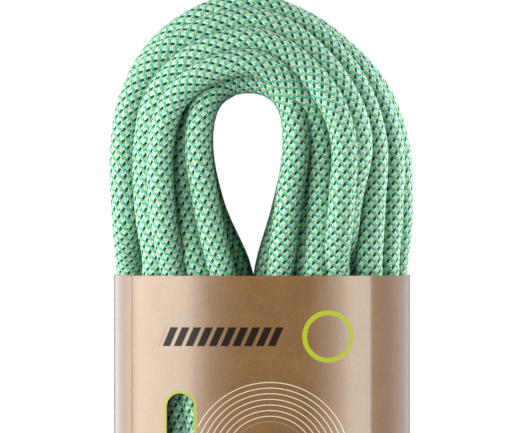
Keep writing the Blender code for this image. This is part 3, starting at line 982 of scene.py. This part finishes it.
def make_band(node, name, material):
    low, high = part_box(node)
    half = (high.z - low.z) / 2
    inner = ROPE_R + 0.05 * MM
    outer = (high.x - low.x) / 2
    profile = [(inner, half), (inner + 0.2 * MM, half + 0.02 * MM), (outer - 0.1 * MM, half - 0.6 * MM),
               (outer, half - 2.5 * MM), (outer - 0.06 * MM, 0.0), (outer, 2.5 * MM - half),
               (outer - 0.1 * MM, 0.6 * MM - half), (inner + 0.2 * MM, -half - 0.02 * MM), (inner, -half)]
    mesh = bpy.data.meshes.new(name)
    count = len(profile)
    mesh.from_pydata([(x, 0, z) for x, z in profile], [(k, (k + 1) % count) for k in range(count)], [])
    band = bpy.data.objects.new(name, mesh)
    scene.collection.objects.link(band)
    screw = band.modifiers.new("turned", "SCREW")
    screw.steps = screw.render_steps = BAND_SIDES
    screw.use_merge_vertices = True
    screw.merge_threshold = 0.01 * MM
    screw.use_smooth_shade = True
    graph = bpy.context.evaluated_depsgraph_get()
    turned = bpy.data.meshes.new_from_object(band.evaluated_get(graph))
    band.modifiers.clear()
    band.data = turned
    turned.transform(Matrix.Translation((low + high) / 2))
    turned.materials.clear()
    turned.materials.append(material)
    return band


band_material = shrink_tube_material()
bands = {node: make_band(node, name, band_material)
         for node, name in (("end_band_1", "shrink_band_1"), ("end_band_2", "shrink_band_2"))}
print(len(bands), "bands of", len(bands["end_band_1"].data.polygons), "faces")

# %% [markdown]
# ## The leaflet
#
# The instructions are one thin sheet folded in three. Seen from its edge it is a flat zigzag with round
# folds. That zigzag is drawn once, pulled up to the leaflet's height and given the paper's thickness.

# %% Folded sheet
PAPER_T = 0.11 * MM
LEAF_STEPS, FOLD_STEPS, LEAF_LEVELS = 8, 6, 5
OUTER_SHORT, FOLD_SHORT = 1.5 * MM, 1 * MM  # the first leaf ends short of both folds' edges
FOLD_IN = 0.1 * MM
leaf_low, leaf_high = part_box("leaflet")


def zigzag():
    """The folded sheet from above: three leaves joined by two round folds."""
    x = (leaf_high.x - leaf_low.x) / 2
    middle = (leaf_high.y + leaf_low.y) / 2
    fold = (leaf_high.y - leaf_low.y - PAPER_T) / 4
    leaves = [middle - 2 * fold, middle, middle + 2 * fold]
    first = (2 * x - OUTER_SHORT - FOLD_SHORT) / LEAF_STEPS
    path = [(-x + OUTER_SHORT + t * first, leaves[0]) for t in range(LEAF_STEPS + 1)]
    for number, side in enumerate((1, -1)):
        centre_y = (leaves[number] + leaves[number + 1]) / 2
        for k in range(FOLD_STEPS + 1):
            turn = math.pi * (k / FOLD_STEPS - 0.5)
            out = x - fold + fold * math.cos(turn) - FOLD_IN
            path.append((side * out, centre_y + fold * math.sin(turn)))
        step = (2 * x - 4 * fold) / LEAF_STEPS
        path += [(side * (x - 2 * fold - t * step), leaves[number + 1]) for t in range(1, LEAF_STEPS)]
    return path


leaf_path = zigzag()
leaf_s = along(np.array(leaf_path))
leaf_levels = np.linspace(leaf_low.z, leaf_high.z, LEAF_LEVELS)
leaf_bm = upright_sheet("sheet", leaf_path, leaf_s, leaf_levels, leaf_low.z)
leaf_mesh = bpy.data.meshes.new("folded_leaflet")
leaf_bm.to_mesh(leaf_mesh)
leaf_bm.free()
leaflet = bpy.data.objects.new("folded_leaflet", leaf_mesh)
scene.collection.objects.link(leaflet)
sheet = leaflet.modifiers.new("paper thickness", "SOLIDIFY")
sheet.thickness, sheet.offset = PAPER_T, 0
print("the sheet is", round(leaf_s[-1] / MM), "by", round((leaf_high.z - leaf_low.z) / MM), "mm flat")

# %% [markdown]
# The paper is plain uncoated offset stock, printed with grey rules and a lime bar, with no words.

# %% Leaflet paper
LEAF_PITCH, PRINTED = 49 * MM, (6 * MM, 42 * MM)  # one leaf's width, and the printed part of it
RULE_PITCH, RULE, RULES = 3.2 * MM, (0.6 * MM, 1.3 * MM), (10 * MM, 80 * MM)
BAR = 88 * MM, 96 * MM


def offset_paper():
    material, tree, shader = new_material("uncoated_offset_paper", {"Roughness": 0.88, "IOR": 1.5})
    u, v, _ = add(tree, "SeparateXYZ", (add(tree, "UVMap", uv_map="sheet"),)).node.outputs
    at = add(tree, "TexCoord", out="Object")
    fibre = add(tree, "TexNoise", {"Vector": at, "Scale": 1 / (0.9 * MM), "Detail": 4.0})
    colour = add(tree, "Mix", {0: fibre, 6: hex_colour("dddcd4"), 7: hex_colour("f1f0ea")}, 2,
                 data_type="RGBA")
    across = add(tree, "Math", (u, LEAF_PITCH), operation="FLOORED_MODULO")
    column = inside_band(tree, across, *PRINTED)
    rules = inside_band(tree, add(tree, "Math", (v, RULE_PITCH), operation="FLOORED_MODULO"), *RULE)
    rules = add(tree, "Math", (rules, inside_band(tree, v, *RULES)), operation="MULTIPLY")
    rules = add(tree, "Math", (rules, 0.6), operation="MULTIPLY")
    for where, ink in ((rules, "6d7270"), (inside_band(tree, v, *BAR), LIME)):
        where = add(tree, "Math", (where, column), operation="MULTIPLY")
        colour = add(tree, "Mix", {0: where, 6: colour, 7: hex_colour(ink)}, 2, data_type="RGBA")
    bump = add(tree, "Bump", {"Strength": 0.2, "Distance": 0.05 * MM, "Height": fibre})
    feed(shader, {"Base Color": colour, "Normal": bump})
    return material


leaf_mesh.materials.append(offset_paper())
print("leaflet material:", leaf_mesh.materials[0].name)

# %% [markdown]
# ## Studio
#
# A wide softbox on the left wraps from near the camera to beside the hank, and a weaker one carries on
# behind. They light every piece. On the right the rope and the card have panels of their own: the varnish
# mirrors its panel as one bright upright band, and the round strands need their light from further back. Two
# high panels keep the card's sides and back from going dark. Each panel is shaded from its near end to its
# far end, so the bands fade softly. The world is white to the eye but lights little, which keeps the gaps
# between the turns dark.

# %% World, softboxes and floor
WORLD_LIGHT = 0.11
LIGHT_AWAY = 1.1
AIM = Vector((0, 0, -0.05))
world = bpy.data.worlds.new("white_studio")
scene.world = world
world.use_nodes = True
seen = add(world.node_tree, "LightPath", out="Is Camera Ray")
world_glow = add(world.node_tree, "MapRange", {0: seen, 3: WORLD_LIGHT, 4: 1.0})
feed(world.node_tree.nodes["Background"], {"Color": (1, 1, 1, 1), "Strength": world_glow})
scene.view_settings.view_transform = "Standard"


def softbox(name, near, far, brightness, height=1.2, lift=0.0, across=((0, 1), (1, 1))):
    """An upright softbox from near to far, in degrees left of the camera; across is its own shading."""
    middle, half = math.radians((near + far) / 2), math.radians(abs(far - near) / 2)
    data = bpy.data.lights.new(name, "AREA")
    data.shape = "RECTANGLE"
    data.size, data.size_y = 2 * LIGHT_AWAY * math.tan(half), height
    data.energy = brightness * data.size * height * math.pi
    data.use_nodes = True
    tree = data.node_tree
    place = add(tree, "SeparateXYZ", (add(tree, "NewGeometry", out="Parametric"),))
    glow = add(tree, "ValToRGB", (add(tree, "Math", (1.0, place), operation="SUBTRACT"),))
    stops = glow.node.color_ramp.elements
    while len(stops) < len(across):
        stops.new(1.0)
    for stop, (position, strength) in zip(stops, across):
        stop.position, stop.color = position, (strength, strength, strength, 1)
    feed(tree.nodes["Emission"], {"Strength": glow})
    light = bpy.data.objects.new(name, data)
    light.location = Vector((-math.sin(middle), -math.cos(middle), 0)) * LIGHT_AWAY + Vector((0, 0, lift))
    light.rotation_euler = (AIM - light.location).to_track_quat("-Z", "Y").to_euler()
    scene.collection.objects.link(light)
    return light


LEFT_SHADING = ((0, 0.03), (0.11, 0.25), (0.23, 0.9), (0.3, 1), (0.75, 1), (1, 0.6))
REAR_SHADING = ((0, 1), (0.4, 0.5), (1, 0.4))
RIGHT_SHADING = ((0, 1), (0.5, 1), (0.8, 0.35), (1, 0.02))
for_both = [
    softbox("left_softbox", 2, 104, 4.3, lift=0.05, across=LEFT_SHADING),
    softbox("left_rear_softbox", 104, 168, 2.7, lift=0.2, across=REAR_SHADING),
]
for_rope = [softbox("right_side_softbox", -138, -74, 6.8, lift=0.2)]
for_card = [
    softbox("right_softbox", -59, -7, 3.6, height=1.1, across=RIGHT_SHADING),
    softbox("right_fill", -168, -58, 1.3, across=((0, 0.4), (0.4, 0.6), (1, 0.6))),
    softbox("high_right_softbox", -115, -65, 7.0, height=1.0, lift=1.0),
    softbox("high_left_softbox", 55, 105, 4.0, height=1.0, lift=1.0),
]
print(len(for_both + for_rope + for_card), "softboxes, each", LIGHT_AWAY, "m away")

# %% [markdown]
# Flags keep each light off the surfaces it isn't meant for. In Blender that is light linking: every light
# gets a collection of the pieces it may touch. The floor is a pale board under the hank, with its own lamp.

# %% Flags and floor
FLOOR_Z, FLOOR_HALF = -0.9, 0.85
LAMP_SIZE, LAMP_ENERGY, LAMP_Z = 2.5, 75, 1.6
floor_mesh = bpy.data.meshes.new("floor")
corners = [(-1, -1), (1, -1), (1, 1), (-1, 1)]
floor_mesh.from_pydata([(x * FLOOR_HALF, y * FLOOR_HALF, FLOOR_Z) for x, y in corners], [], [(0, 1, 2, 3)])
floor = bpy.data.objects.new("floor", floor_mesh)
scene.collection.objects.link(floor)
painted, _, _ = new_material("pale_floor", {"Base Color": hex_colour("ecebe8"), "Roughness": 0.8})
floor_mesh.materials.append(painted)

floor_lamp_data = bpy.data.lights.new("floor_lamp", "AREA")
floor_lamp_data.size, floor_lamp_data.energy = LAMP_SIZE, LAMP_ENERGY
floor_lamp = bpy.data.objects.new("floor_lamp", floor_lamp_data)
floor_lamp.location = (0, 0, LAMP_Z)
scene.collection.objects.link(floor_lamp)

small_pieces = [*ties.values(), *bands.values(), leaflet]
groups = {
    "rope_only": ([rope, *small_pieces], for_rope),
    "card_only": ([sleeve], for_card),
    "hank_only": ([rope, sleeve, *small_pieces], for_both),
    "floor_only": ([floor], [floor_lamp]),
}
for name, (lit, lights) in groups.items():
    group = bpy.data.collections.new(name)
    for piece in lit:
        group.objects.link(piece)
    for light in lights:
        light.light_linking.receiver_collection = group
    print(name, "lights", len(lit), "pieces from", len(lights), "lamps")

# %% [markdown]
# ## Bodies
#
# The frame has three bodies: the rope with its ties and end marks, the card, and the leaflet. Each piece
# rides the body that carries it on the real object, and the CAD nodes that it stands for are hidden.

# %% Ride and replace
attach(rope, "rope")
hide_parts("rope_hank", "rope_tail_1", "rope_tail_2")
for node, band in bands.items():
    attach(band, "rope")
    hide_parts(node)
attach(sleeve, "sleeve")
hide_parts("sleeve_card")
for node, tape in ties.items():
    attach(tape, "rope")
    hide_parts(node)
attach(leaflet, "leaflet")
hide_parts("leaflet")
